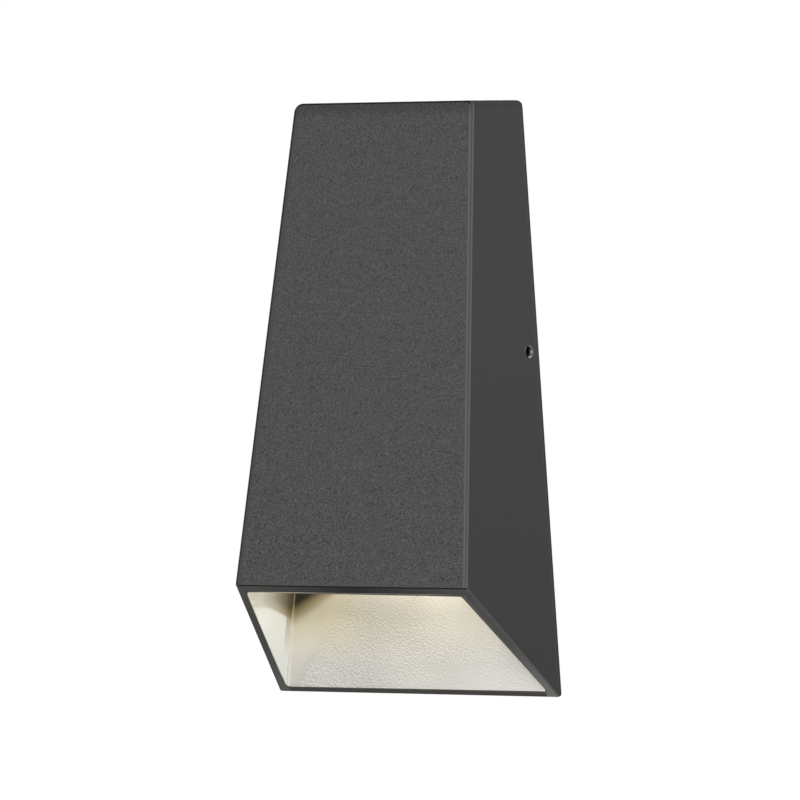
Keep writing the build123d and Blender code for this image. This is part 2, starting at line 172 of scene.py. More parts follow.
def place(piece, spot, turn=Matrix.Identity(4)):
    """Moves a piece that was made at the origin to its place, in its mesh."""
    piece.data.transform(Matrix.Translation(spot) @ turn)
    return piece


def linked(name, data):
    """New object in the scene, with a mesh, lamp or camera as its data."""
    made = bpy.data.objects.new(name, data)
    bpy.context.collection.objects.link(made)
    return made


def copy_of(piece, name):
    """Copy of a piece with its own mesh."""
    return linked(name, piece.data.copy())


def joined(pieces, name):
    """Joins pieces into one object."""
    hold(pieces[0])
    for piece in pieces:
        piece.select_set(True)
    bpy.ops.object.join()
    pieces[0].name = name
    return pieces[0]


def arc(centre_r, centre_z, radius, first, last, steps):
    """Points of an arc in a half section, by angles in degrees from the outward radius."""
    angles = [radians(first + (last - first) * step / steps) for step in range(steps + 1)]
    return [(centre_r + radius * cos(angle), centre_z + radius * sin(angle)) for angle in angles]


def drawn(name, points):
    """Outline of (radius, height) points, drawn from one vertex in the XZ plane. Stays in edit mode."""
    piece = start(name, bpy.ops.mesh.primitive_plane_add, size=MM)
    edit(piece)
    bpy.ops.mesh.merge(type="CENTER")
    bpy.ops.transform.translate(value=(points[0][0], 0, points[0][1]))
    for (r0, z0), (r1, z1) in zip(points, points[1:]):
        bpy.ops.mesh.extrude_vertices_move(TRANSFORM_OT_translate={"value": (r1 - r0, 0, z1 - z0)})
    bpy.ops.mesh.select_all(action="SELECT")
    return piece


def sealed():
    """Merges what touches in the piece being edited, turns its faces outwards and leaves edit mode."""
    bpy.ops.mesh.select_all(action="SELECT")
    bpy.ops.mesh.remove_doubles(threshold=touching)
    bpy.ops.mesh.dissolve_degenerate(threshold=touching / 2)
    bpy.ops.mesh.select_all(action="SELECT")
    bpy.ops.mesh.normals_make_consistent(inside=False)
    close_edit()


def turned(name, points, steps=48):
    """Piece turned round the Z axis from its half section."""
    piece = drawn(name, points)
    bpy.ops.mesh.spin(steps=steps, angle=2 * pi, center=(0, 0, 0), axis=(0, 0, 1))
    sealed()
    return piece


def merged_copy(node, name):
    """Copy of a CAD node's mesh with its triangles merged and its flat faces made whole."""
    piece = hold(copy_of(nodes[node], name))
    bpy.ops.mesh.customdata_custom_splitnormals_clear()
    edit(piece)
    bpy.ops.mesh.remove_doubles(threshold=2 * touching)
    bpy.ops.mesh.dissolve_limited(angle_limit=radians(0.5))
    bpy.ops.mesh.select_all(action="SELECT")
    bpy.ops.mesh.normals_make_consistent(inside=False)
    close_edit()
    return piece


def softened(node, name, width, segments=2):
    """Copy of a CAD node with its sharp edges rounded off."""
    piece = merged_copy(node, name)
    shape(piece, "BEVEL", width=width, segments=segments, limit_method="ANGLE", angle_limit=radians(40))
    return even(piece)


def solids(node):
    """Lowest and highest corner of each separate solid in a CAD node."""
    edit(merged_copy(node, node + "_loose"))
    bpy.ops.mesh.separate(type="LOOSE")
    close_edit()
    corners = []
    for part in list(bpy.context.selected_objects):
        spots = [vertex.co for vertex in part.data.vertices]
        low = Vector(min(spot[axis] for spot in spots) for axis in range(3))
        high = Vector(max(spot[axis] for spot in spots) for axis in range(3))
        corners.append((low, high))
        bpy.data.objects.remove(part)
    return corners


def underside(low, high):
    """Middle of a box's underside."""
    return Vector(((low.x + high.x) / 2, (low.y + high.y) / 2, low.z))


# Node helpers

def put(tree, kind, inputs=None, **settings):
    """Adds a shader node, sets it up and feeds its inputs with values or with other nodes' outputs."""
    node = tree.nodes.new("ShaderNode" + kind)
    for name, value in settings.items():
        setattr(node, name, value)
    for key, value in (inputs or {}).items():
        if isinstance(value, bpy.types.NodeSocket):
            tree.links.new(value, node.inputs[key])
        else:
            node.inputs[key].default_value = value
    return node


def bare_tree(owner):
    """Emptied node tree of a material, lamp or world."""
    owner.use_nodes = True
    owner.node_tree.nodes.clear()
    return owner.node_tree


def tree_of(*values):
    """Node tree of the sockets among some values."""
    return next(value.id_data for value in values if isinstance(value, bpy.types.NodeSocket))


def calc(operation, first, second=0.0, third=0.0, clamp=False):
    """Values or sockets worked out by the named operation."""
    inputs = {0: first, 1: second, 2: third}
    tree = tree_of(first, second)
    return put(tree, "Math", inputs, operation=operation, use_clamp=clamp).outputs[0]


def both(first, second):
    """Product of two masks or values."""
    return calc("MULTIPLY", first, second)


def either(first, second):
    """Larger of two masks."""
    return calc("MAXIMUM", first, second)


def hypotenuse(across, along):
    """Length of the line that goes so far across and so far along."""
    return calc("SQRT", calc("ADD", both(across, across), both(along, along)))


def held(value, low, high, to_low=0.0, to_high=1.0, easing="LINEAR"):
    """Value mapped from one range to another, held at its ends."""
    inputs = {"Value": value, "From Min": low, "From Max": high, "To Min": to_low, "To Max": to_high}
    return put(tree_of(value), "MapRange", inputs, interpolation_type=easing).outputs[0]


def between(value, low, high, to_low=0.0, to_high=1.0):
    """Value mapped from one range to another, held at its ends and eased in between."""
    return held(value, low, high, to_low, to_high, "SMOOTHSTEP")


def within(value, rise, fall):
    """Mask that rises over one range of a value and falls over another."""
    return both(between(value, *rise), between(value, *fall))


def by_mask(mask, off, on):
    """Value that is one thing off a mask and another on it."""
    return between(mask, 0.0, 1.0, off, on)


def grey(level):
    """Neutral colour."""
    return (level, level, level, 1)


def blend(factor, first, second, mode="MIX"):
    """Mix of two colours."""
    inputs = {0: factor, 6: first, 7: second}
    return put(tree_of(factor), "Mix", inputs, data_type="RGBA", blend_type=mode).outputs[2]


def scaled(mask, colour, share):
    """Colour made darker or lighter on a mask."""
    return blend(mask, colour, grey(share), "MULTIPLY")


def noise(vector, scale, detail, roughness=0.5):
    """Noise value, with the scale in cells a metre."""
    inputs = {"Vector": vector, "Scale": scale, "Detail": detail, "Roughness": roughness}
    return put(tree_of(vector), "TexNoise", inputs).outputs[0]


def object_places(tree, scale=(1, 1, 1)):
    """Object coordinates, stretched or squeezed."""
    places = put(tree, "TexCoord").outputs["Object"]
    return put(tree, "Mapping", {"Vector": places, "Scale": scale}).outputs[0]


def surface(tree):
    """Where a surface is, whole and split, and where it faces, split."""
    found = put(tree, "TexCoord").outputs
    spot = put(tree, "SeparateXYZ", {0: found["Object"]}).outputs
    facing = put(tree, "SeparateXYZ", {0: found["Normal"]}).outputs
    return found["Object"], spot, facing


def new_group(name, inputs, outputs):
    """Empty node group with its sockets: (name, kind, default) in and (name, kind) out."""
    tree = bpy.data.node_groups.new(name, "ShaderNodeTree")
    for socket, kind, default in inputs:
        made = tree.interface.new_socket(socket, in_out="INPUT", socket_type="NodeSocket" + kind)
        if default is not None:
            made.default_value = default
    for socket, kind in outputs:
        tree.interface.new_socket(socket, in_out="OUTPUT", socket_type="NodeSocket" + kind)
    entry = tree.nodes.new("NodeGroupInput").outputs
    way_out = tree.nodes.new("NodeGroupOutput").inputs
    return tree, entry, way_out


def use(group, **inputs):
    """Places a node group and feeds its inputs."""
    return put(tree_of(*inputs.values()), "Group", inputs, node_tree=group).outputs


def new_finish(name, **values):
    """New material: its node tree and its Principled shader, with the plain values set on the shader."""
    finish = bpy.data.materials.new(name)
    tree = bare_tree(finish)
    shader = put(tree, "BsdfPrincipled", {key.replace("_", " "): value for key, value in values.items()})
    put(tree, "OutputMaterial", {"Surface": shader.outputs[0]})
    return finish, tree, shader


def feed(shader, height, bump, distance, **inputs):
    """Feeds sockets to a shader, and a height to its normal through a bump."""
    tree = tree_of(height)
    relief = put(tree, "Bump", {"Strength": bump, "Distance": distance, "Height": height})
    inputs["Normal"] = relief.outputs[0]
    for key, socket in inputs.items():
        tree.links.new(socket, shader.inputs[key.replace("_", " ")])


# Effects that several finishes share

def make_coat_grain():
    """Fine pimples of a powder coat: their height, and flecks of lighter and darker grains."""
    tree, entry, way_out = new_group(
        "coat_grain",
        [("Vector", "Vector", None), ("Scale", "Float", 900.0)],
        [("Height", "Float"), ("Fleck", "Float")],
    )
    pimples = noise(entry["Vector"], entry["Scale"], 2.0, 0.55)
    dust = noise(entry["Vector"], both(entry["Scale"], 2.6), 1.0)
    height = calc("ADD", both(pimples, 0.7), both(dust, 0.3))
    tree.links.new(height, way_out["Height"])
    tree.links.new(between(height, 0.32, 0.68), way_out["Fleck"])
    return tree


def make_tone_drift():
    """Slow drift of a colour over a surface, lighter and darker by a share."""
    tree, entry, way_out = new_group(
        "tone_drift",
        [
            ("Vector", "Vector", None), ("Color", "Color", None),
            ("Scale", "Float", 25.0), ("Share", "Float", 0.06),
        ],
        [("Color", "Color")],
    )
    clouds = between(noise(entry["Vector"], entry["Scale"], 3.0), 0.3, 0.7, -1.0, 1.0)
    light = calc("MULTIPLY_ADD", clouds, entry["Share"], 1.0)
    toned = put(tree, "VectorMath", {0: entry["Color"], "Scale": light}, operation="SCALE").outputs[0]
    tree.links.new(toned, way_out["Color"])
    return tree


def make_rolled_lines():
    """Fine lines of rolled, drawn or ground metal, along the axis that the vector was squeezed on."""
    tree, entry, way_out = new_group(
        "rolled_lines",
        [("Vector", "Vector", None), ("Scale", "Float", 1500.0)],
        [("Height", "Float"), ("Tone", "Float")],
    )
    lines = noise(entry["Vector"], entry["Scale"], 3.0, 0.6)
    tree.links.new(lines, way_out["Height"])
    tree.links.new(between(lines, 0.25, 0.75), way_out["Tone"])
    return tree


def make_rim_painted_light_and_shade():
    """Painted light and shade on the mouth's rim: dark in the middle of the lip and at the wall, light low
    on the right.
    """
    tree, entry, way_out = new_group("rim_painted_light_and_shade", [("Vector", "Vector", None)], [("Color", "Color")])
    spot = put(tree, "SeparateXYZ", {0: entry["Vector"]}).outputs
    off_middle = calc("ABSOLUTE", spot[0])
    to_ends = held(off_middle, 0, 48 * MM)
    lip = blend(to_ends, (0.034, 0.0305, 0.03, 1), (0.092, 0.088, 0.085, 1))
    to_wall = held(spot[1], -25 * MM, -5 * MM)
    left = blend(to_wall, (0.083, 0.081, 0.078, 1), (0.13, 0.128, 0.124, 1))
    to_wall = between(spot[1], -36 * MM, -2 * MM)
    right = blend(to_wall, (0.1, 0.098, 0.094, 1), (0.2, 0.199, 0.195, 1))
    sides = blend(between(spot[0], -5 * MM, 5 * MM), left, right)
    rim = blend(between(spot[1], -56 * MM, -52 * MM), lip, sides)
    at_wall = between(spot[1], -6 * MM, -5 * MM)
    wall_side = both(at_wall, between(off_middle, 64 * MM, 62.5 * MM))
    tree.links.new(blend(wall_side, rim, (0.074, 0.071, 0.065, 1)), way_out["Color"])
    return tree


coat_grain = make_coat_grain()
tone_drift = make_tone_drift()
rolled_lines = make_rolled_lines()
rim_painted_light_and_shade = make_rim_painted_light_and_shade()

# Finishes

# Bare metal round the side screws' holes: its radius, and how far off the holes' middle it lies
set_screw_low, set_screw_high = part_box("set_screw_right")
set_screw_middle = (set_screw_low + set_screw_high) / 2
bare_ring = 2.76 * MM
bare_forward = 0.22 * MM
bare_up = 0.09 * MM

# Charcoal coat: its colour, the darkest and lightest of its sandy grain, the smooth band of painted light
# and shade along the front face's upright edges, and how near that face's corners the ends of an edge are
coat_colour = (0.074, 0.0735, 0.073, 1)
coat_dark = (0.04, 0.0395, 0.0395, 1)
coat_light = (0.117, 0.1165, 0.116, 1)
edge_band = 2.4 * MM
corner_reach = 8 * MM

# White coat: sloping line on the back wall, left of which its skin is smooth, with its place at height 0
smooth_slope = 0.6
smooth_place = 26 * MM

# Where the lens sends its light from, half the angle of its bright cone in degrees, and how far away its
# evened spill is as strong as a plain one
lens_low, lens_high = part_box("lens")
led_forward = 4.5 * MM
led_below = 2.5 * MM
led_spot = (lens_low + lens_high) / 2
led_spot.y -= led_forward
led_spot.z = lens_low.z - led_below
cone_half = 54.5
led_reach = 65 * MM

# Straight line on the side walls where the bright cone ends and painted shade begins: its slope and height
# at the wall
cut_slope = -0.228
cut_height = lowest + 29.8 * MM

# Bare end of a lead
stripped_end = 1.0 * MM


def front_edge_ends():
    """Lowest and highest point of the front face's straight right edge."""
    spots = nodes["housing"].data.vertices
    faces = [face for face in nodes["housing"].data.polygons if face.normal.y < -0.985]
    main = max(faces, key=lambda face: face.area)
    corners = [spots[index].co for face in faces for index in face.vertices]
    corners = [corner for corner in corners if abs((corner - main.center).dot(main.normal)) < 0.05 * MM]
    low_end = min(corner.z for corner in corners) + corner_reach
    high_end = max(corner.z for corner in corners) - corner_reach
    low_corners = [corner for corner in corners if corner.z < low_end]
    high_corners = [corner for corner in corners if corner.z > high_end]
    return [max(group, key=lambda corner: corner.x) for group in (low_corners, high_corners)]


def front_edges(coat, spot, front, on_right):
    """Smooth band beside the front face's upright edges, with painted light and shade: lighter on the
    right, with a painted highlight line there, darker on the left, and a fine line of painted shade at each
    edge.
    """
    low, high = front_edge_ends()
    half_width = held(spot[2], low.z, high.z, low.x, high.x)
    inside_edge = calc("SUBTRACT", half_width, calc("ABSOLUTE", spot[0]))
    band = both(between(inside_edge, edge_band, 0.6 * edge_band), 0.85)
    band_tone = blend(on_right, grey(0.068), (0.092, 0.0915, 0.091, 1))
    highlight_line = both(within(inside_edge, (0.7 * MM, 0.9 * MM), (1.5 * MM, 1.3 * MM)), on_right)
    highlight_line_tone = (0.125, 0.1245, 0.124, 1)
    line = between(inside_edge, 0.65 * MM, 0.25 * MM)
    line_tone = blend(on_right, grey(0.026), grey(0.078))
    for mask, tone in ((band, band_tone), (highlight_line, highlight_line_tone), (line, line_tone)):
        coat = blend(both(mask, front), coat, tone)
    return coat


def side_painted_light_and_shade(coat, spot, on_side):
    """Sides painted darker downwards as shade, with a strip of painted light near the wall and painted
    shade at its edge.
    """
    upwards = held(spot[2], lowest, lowest + 166.5 * MM)
    coat = blend(on_side, coat, blend(upwards, grey(0.83), grey(1.0)), "MULTIPLY")
    near_wall = within(spot[1], (-3.2 * MM, -2.8 * MM), (-1.7 * MM, -2.0 * MM))
    coat = scaled(both(on_side, near_wall), coat, 1.14)
    at_wall = between(spot[1], -2.0 * MM, -1.6 * MM)
    return scaled(both(on_side, at_wall), coat, 0.7)


def edges_painted_light_and_shade(coat, places, facing, sideways, on_right):
    """Painted light and shade on the rounded edges, told by where they face: light on the right upright
    edge and on the sides' lower edges, dark on the left upright one, near black on the top edges and under
    the front, and the rim's painted tones on the rim.
    """
    rim_side = within(sideways, (0.08, 0.2), (0.55, 0.45))
    rim_side = both(rim_side, between(facing[2], -0.3, -0.4))
    rim = either(between(facing[2], -0.7, -0.78), rim_side)
    rim_tone = use(rim_painted_light_and_shade, Vector=places)["Color"]
    upright = within(sideways, (0.15, 0.4), (0.85, 0.65))
    upright = both(upright, between(facing[1], -0.3, -0.5))
    upright_tone = blend(on_right, grey(0.034), grey(0.12))
    top_front = both(between(facing[2], 0.2, 0.34), between(sideways, 0.45, 0.2))
    shoulder = both(between(facing[2], 0.78, 0.9), between(sideways, 0.1, 0.2))
    upward = both(either(top_front, shoulder), between(facing[2], 0.998, 0.99))
    under_side = within(facing[2], (0.05, -0.15), (-0.74, -0.6))
    under_side = both(under_side, within(sideways, (0.4, 0.5), (0.85, 0.75)))
    under_front = within(facing[2], (-0.28, -0.4), (-0.77, -0.7))
    under_front = both(under_front, between(facing[1], -0.645, -0.7))
    for mask, tone in (
        (rim, rim_tone),
        (upright, upright_tone),
        (upward, grey(0.014)),
        (under_side, (0.115, 0.115, 0.113, 1)),
        (under_front, (0.01, 0.008, 0.009, 1)),
    ):
        coat = blend(mask, coat, tone)
    return coat


def bare_metal(spot, sideways):
    """Bare metal round the side screws' holes, and the bores' walls in painted shade high up and painted
    light
    low down: the mask of both, the bores' mask, and their tone.
    """
    across = calc("SUBTRACT", spot[1], set_screw_middle.y - bare_forward)
    along = calc("SUBTRACT", spot[2], set_screw_middle.z + bare_up)
    bare = between(hypotenuse(across, along), bare_ring, bare_ring - 0.1 * MM)
    bore = both(bare, between(sideways, 0.6, 0.4))
    bore_painted_light_and_shade = blend(between(along, 0.9 * MM, -0.7 * MM), grey(0.08), grey(0.95))
    return bare, bore, blend(bore, (0.72, 0.72, 0.73, 1), bore_painted_light_and_shade)


def charcoal_coat():
    """Charcoal powder coat: sandy on the front, smoother elsewhere, bare metal round the side holes, with
    painted light and shade on its edges, rim and sides, in the holes, and painted shade under the roof.
    """
    finish, tree, shader = new_finish("charcoal_coat", Specular_IOR_Level=0.05)
    places, spot, facing = surface(tree)
    sideways = calc("ABSOLUTE", facing[0])
    front = between(facing[1], -0.9, -0.985)
    on_side = between(sideways, 0.93, 0.97)
    on_right = between(spot[0], -5 * MM, 5 * MM)
    grain = use(coat_grain, Vector=places, Scale=1450.0)
    base = use(tone_drift, Vector=places, Color=coat_colour, Scale=14.0, Share=0.02)
    sand = blend(grain["Fleck"], coat_dark, coat_light)
    sanded = between(spot[2], lowest + 56.5 * MM, lowest + 156.5 * MM, 1.0, 0.8)
    coat = blend(both(front, sanded), base["Color"], sand)
    coat = front_edges(coat, spot, front, on_right)
    coat = side_painted_light_and_shade(coat, spot, on_side)
    top_shade = between(spot[2], highest - 9 * MM, highest - 3 * MM)
    coat = scaled(both(front, top_shade), coat, 0.76)
    coat = edges_painted_light_and_shade(coat, places, facing, sideways, on_right)
    bare, bore, bare_tone = bare_metal(spot, sideways)
    colour = blend(bare, coat, bare_tone)
    metal = calc("SUBTRACT", bare, bore)
    rough = by_mask(bare, calc("MULTIPLY_ADD", grain["Height"], 0.12, 0.5), 0.28)
    height = both(grain["Height"], by_mask(front, 0.15, 1.0))
    feed(shader, height, 0.3, 0.12 * MM, Base_Color=colour, Roughness=rough, Metallic=metal)
    return finish


def sandiness(spot, inside, high):
    """How sandy the back wall's skin is: smooth beside the left corner and high on the right."""
    far_right = between(spot[0], 2 * MM, 26 * MM)
    sandy = both(inside, by_mask(both(high, far_right), 1.0, 0.35))
    sandy = both(sandy, between(spot[2], lowest + 27.5 * MM, lowest + 34.5 * MM, 1.15, 0.82))
    low_relief = between(spot[0], -45 * MM, 10 * MM, 1.2, 0.62)
    relief = between(spot[2], lowest + 9.5 * MM, lowest + 17.5 * MM, low_relief, 1.0)
    return both(sandy, relief)


def back_wall_painted_light_and_shade(spot, inside, high):
    """Tone of the back wall, with painted light and shade: creamier high up on both sides of the lamp,
    where its warm light falls, lighter on the right, and greyer and darker low on the left.
    """
    tone = blend(inside, (0.54, 0.525, 0.495, 1), (0.482, 0.468, 0.436, 1))
    low = between(spot[2], lowest + 24.5 * MM, lowest + 12.5 * MM)
    tone = blend(both(low, inside), tone, (0.5, 0.491, 0.477, 1))
    right = between(spot[0], 15 * MM, 40 * MM)
    tone = blend(right, tone, (0.56, 0.553, 0.545, 1))
    # Painted warm light of the lamp's spill, as cream high up on both sides of the lamp
    off_lamp = calc("ABSOLUTE", calc("ADD", spot[0], 12 * MM))
    warm_lit = both(high, between(off_lamp, 5 * MM, 32 * MM))
    past_lamp = between(spot[0], -20 * MM, 5 * MM)
    warm_light_tone = blend(past_lamp, (0.62, 0.58, 0.465, 1), (0.625, 0.615, 0.575, 1))
    tone = blend(warm_lit, tone, warm_light_tone)
    lowermost = between(spot[2], lowest + 20.5 * MM, lowest + 6.5 * MM)
    low_left = both(lowermost, between(spot[0], 10 * MM, -30 * MM))
    return scaled(low_left, tone, 0.84)


def corner_painted_shade(colour, spot, sideways, on_side, high):
    """Painted shade in the rounded inside corners, and in a strip beside them: a little darker than the
    walls.
    """
    corner = within(sideways, (0.2, 0.4), (0.98, 0.9))
    strip = both(both(between(spot[1], -11 * MM, -10.4 * MM), high), on_side)
    corner_shading = either(both(corner, 0.12), both(strip, 0.6))
    colour = blend(both(corner, 0.7), colour, (0.6, 0.595, 0.57, 1))
    return blend(corner_shading, colour, (0.32, 0.29, 0.22, 1))


def above_cone(spot):
    """Tangent of the angle from straight down at which the lens sees a point."""
    across = calc("SUBTRACT", spot[0], led_spot.x)
    along = calc("SUBTRACT", spot[1], led_spot.y)
    drop = calc("SUBTRACT", led_spot.z, spot[2])
    return calc("DIVIDE", hypotenuse(across, along), drop)


def painted_shade_above_cone(colour, spot, sideways, on_side):
    """Painted shade above the bright cone, deepest towards the wall. On the side walls the lens
    frame cuts the cone off along a straight line that falls towards the wall; the painted shade starts
    there."""
    cut_off = calc("MULTIPLY_ADD", spot[1], cut_slope, cut_height)
    above = between(calc("SUBTRACT", spot[2], cut_off), -0.3 * MM, 0.5 * MM)
    slant = calc("ADD", above_cone(spot), both(on_side, 0.09))
    depth = by_mask(on_side, 1.0, held(spot[1], -40 * MM, -4 * MM))
    corner_line = within(sideways, (0.57, 0.64), (0.8, 0.73))
    depth = both(depth, by_mask(corner_line, 1.0, 0.2))
    depth = both(depth, by_mask(on_side, 1.0, 0.9))
    depth = both(depth, by_mask(on_side, 1.0, above))
    cone_edge = tan(radians(cone_half))
    for begin, full, shade in (
        (cone_edge - 0.1, cone_edge + 0.13, (0.47, 0.4, 0.25, 1)),
        (cone_edge + 0.05, cone_edge + 0.29, (0.062, 0.051, 0.044, 1)),
    ):
        colour = blend(both(between(slant, begin, full), depth), colour, shade)
    return colour


def mouth_edge(colour, places, spot, facing):
    """Cut edge at the mouth in the rim's painted light and shade, which darkens it, apart from the left
    wall and the lip's left end; dark outside too.
    """
    cut = both(between(facing[2], -0.7, -0.76), between(facing[1], -0.45, -0.55))
    off_left = between(spot[0], -40 * MM, -5 * MM)
    near_wall = between(spot[1], -14 * MM, -8 * MM)
    # Outside, the side walls face away from the middle plane
    outside = between(both(facing[0], spot[0]), 0.045, 0.05)
    dark = either(both(cut, either(off_left, near_wall)), outside)
    return blend(dark, colour, use(rim_painted_light_and_shade, Vector=places)["Color"])


def white_coat():
    """Warm white powder coat with an orange-peel skin, with painted lamp light on the back wall, and
    yellowish painted shade in the deep corners and above the bright cone.
    """
    finish, tree, shader = new_finish("white_coat", Specular_IOR_Level=0.3)
    places, spot, facing = surface(tree)
    sideways = calc("ABSOLUTE", facing[0])
    back = between(facing[1], -0.9, -0.97)
    on_side = between(sideways, 0.93, 0.97)
    high = between(spot[2], lowest + 12.5 * MM, lowest + 30.5 * MM)
    smooth_edge = calc("MULTIPLY_ADD", spot[2], smooth_slope, smooth_place)
    inside = between(calc("SUBTRACT", spot[0], smooth_edge), -4 * MM, 6 * MM)
    peel = noise(places, 1050.0, 1.5)
    skin = both(peel, both(back, sandiness(spot, inside, high)))
    plain = back_wall_painted_light_and_shade(spot, inside, high)
    tone = use(tone_drift, Vector=places, Color=plain, Scale=30.0, Share=0.025)
    pitted = both(between(skin, 0.45, 0.75), 0.2)
    flecked = blend(pitted, tone["Color"], (0.78, 0.77, 0.74, 1))
    # The side walls get a lighter, cooler white than the back wall, though the coat is the same: painted
    # light and shade
    colour = blend(on_side, flecked, (0.745, 0.785, 0.83, 1))
    colour = corner_painted_shade(colour, spot, sideways, on_side, high)
    colour = painted_shade_above_cone(colour, spot, sideways, on_side)
    colour = mouth_edge(colour, places, spot, facing)
    rough = between(peel, 0.3, 0.7, 0.42, 0.58)
    feed(shader, skin, 0.95, 0.42 * MM, Base_Color=colour, Roughness=rough)
    return finish


def frosted_glass():
    """Sand-blasted glass of the lens."""
    finish, tree, shader = new_finish("frosted_glass", Transmission_Weight=1.0, IOR=1.5)
    places = object_places(tree)
    grain = use(coat_grain, Vector=places, Scale=2600.0)
    tone = use(tone_drift, Vector=places, Color=(0.95, 0.96, 0.94, 1), Scale=60.0, Share=0.02)
    rough = by_mask(grain["Fleck"], 0.42, 0.6)
    feed(shader, grain["Height"], 0.12, 0.05 * MM, Base_Color=tone["Color"], Roughness=rough)
    return finish


def soft_finish(name, colour, fine, bump, rough):
    """Matt rubber, silicone, foam or plastic: a fine skin with a slight drift of tone."""
    finish, tree, shader = new_finish(name, Specular_IOR_Level=0.3)
    places = object_places(tree)
    grain = use(coat_grain, Vector=places, Scale=fine)
    tone = use(tone_drift, Vector=places, Color=(*colour, 1), Scale=70.0, Share=0.12)
    fleck = both(grain["Fleck"], 0.25)
    flecked = blend(fleck, tone["Color"], grey(0.2), "ADD")
    shade = by_mask(grain["Fleck"], rough - 0.08, rough + 0.08)
    feed(shader, grain["Height"], bump, 0.15 * MM, Base_Color=flecked, Roughness=shade)
    return finish


def metal_finish(name, dark, light, rough, lines, squeeze, bump=0.1, spread=35.0):
    """Bare or plated metal with fine lines and a slight drift of tone."""
    finish, tree, shader = new_finish(name, Metallic=1.0)
    drawn_lines = use(rolled_lines, Vector=object_places(tree, squeeze), Scale=lines)
    toned = blend(drawn_lines["Tone"], (*dark, 1), (*light, 1))
    tone = use(tone_drift, Vector=object_places(tree), Color=toned, Scale=spread, Share=0.08)
    shade = by_mask(drawn_lines["Tone"], rough - 0.07, rough + 0.07)
    feed(shader, drawn_lines["Height"], bump, 0.03 * MM, Base_Color=tone["Color"], Roughness=shade)
    return finish


def galvanised_sheet():
    """Zinc-plated sheet steel, with the faint crystals of the zinc."""
    finish, tree, shader = new_finish("galvanised_sheet", Metallic=1.0)
    places = object_places(tree)
    cells = put(tree, "TexVoronoi", {"Vector": places, "Scale": 190.0}, distance="EUCLIDEAN")
    crystal = put(tree, "SeparateColor", {0: cells.outputs["Color"]}).outputs[0]
    toned = blend(crystal, (0.52, 0.53, 0.54, 1), (0.66, 0.66, 0.65, 1))
    tone = use(tone_drift, Vector=places, Color=toned, Scale=40.0, Share=0.07)
    rolled = use(rolled_lines, Vector=object_places(tree, (0.06, 1, 1)), Scale=1400.0)
    shade = by_mask(crystal, 0.3, 0.44)
    feed(shader, rolled["Height"], 0.12, 0.03 * MM, Base_Color=tone["Color"], Roughness=shade)
    return finish


def board_mask():
    """White solder mask of the board, with bare metal at its cut edge."""
    finish, tree, shader = new_finish("board_mask", Specular_IOR_Level=0.45)
    places, _, facing = surface(tree)
    grain = use(coat_grain, Vector=places, Scale=1500.0)
    masked = between(facing[2], -0.5, -0.8)
    tone = use(tone_drift, Vector=places, Color=(0.82, 0.82, 0.79, 1), Scale=90.0, Share=0.03)
    colour = blend(masked, (0.62, 0.62, 0.63, 1), tone["Color"])
    metal = by_mask(masked, 1.0, 0.0)
    shade = by_mask(grain["Fleck"], 0.3, 0.42)
    feed(shader, grain["Height"], 0.06, 0.03 * MM, Base_Color=colour, Roughness=shade, Metallic=metal)
    return finish


def lit_phosphor():
    """Yellow phosphor under clear silicone, switched on."""
    finish, tree, shader = new_finish("lit_phosphor", Roughness=0.3, Emission_Strength=2.2)
    places = object_places(tree)
    grain = use(coat_grain, Vector=places, Scale=2200.0)
    tone = use(tone_drift, Vector=places, Color=(0.85, 0.6, 0.1, 1), Scale=300.0, Share=0.08)
    glow = blend(grain["Fleck"], (1.0, 0.8, 0.45, 1), (1.0, 0.9, 0.62, 1))
    feed(shader, grain["Height"], 0.1, 0.03 * MM, Base_Color=tone["Color"], Emission_Color=glow)
    return finish


def lead_insulation():
    """Red and black insulation of the two leads, told apart by side, with tinned ends."""
    finish, tree, shader = new_finish("lead_insulation", Specular_IOR_Level=0.5)
    places, spot, _ = surface(tree)
    side = between(spot[0], -0.05 * MM, 0.05 * MM)
    sleeve = blend(side, grey(0.018), (0.42, 0.025, 0.02, 1))
    tone = use(tone_drift, Vector=places, Color=sleeve, Scale=400.0, Share=0.1)
    low_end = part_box("led_leads")[0].z
    tinned = between(spot[2], low_end + 1.1 * stripped_end, low_end + stripped_end)
    colour = blend(tinned, tone["Color"], (0.7, 0.69, 0.67, 1))
    grain = use(coat_grain, Vector=places, Scale=2500.0)
    shade = by_mask(grain["Fleck"], 0.28, 0.4)
    feed(shader, grain["Height"], 0.05, 0.03 * MM, Base_Color=colour, Roughness=shade, Metallic=tinned)
    return finish


